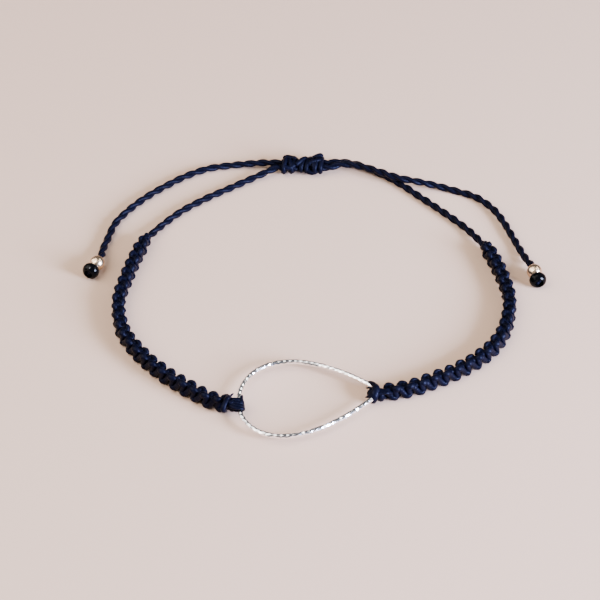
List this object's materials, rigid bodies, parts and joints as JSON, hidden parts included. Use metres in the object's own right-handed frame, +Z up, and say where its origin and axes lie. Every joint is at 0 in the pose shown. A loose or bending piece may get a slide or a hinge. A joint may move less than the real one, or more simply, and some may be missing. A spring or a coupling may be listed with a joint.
{
  "type": "macrame bracelet",
  "caption": "Knotted thread bracelet with an open teardrop of silver wire, a sliding knot and loose beaded tails, lying open.",
  "frame": {"origin": "centre of the loop's box without the loose tails, on the surface it lies on", "axes": "+Z up, square to the plane of the loop; -Y towards the teardrop, +Y towards the sliding knot"},
  "size_m": [0.0724, 0.0651, 0.0027],
  "materials": {
    "navy_thread": "waxed, soft sheen",
    "silver_wire": "polished, with cut facets",
    "pale_gold_metal": "polished",
    "black_glass": "glossy"
  },
  "bodies": {
    "root": {"teardrop_link": "silver_wire", "left_band": "navy_thread", "right_band": "navy_thread", "left_cord": "navy_thread", "right_cord": "navy_thread", "sliding_knot": "navy_thread", "left_tail": "navy_thread", "right_tail": "navy_thread", "left_metal_bead": "pale_gold_metal", "left_black_bead": "black_glass", "right_metal_bead": "pale_gold_metal", "right_black_bead": "black_glass"}
  },
  "joints": []
}
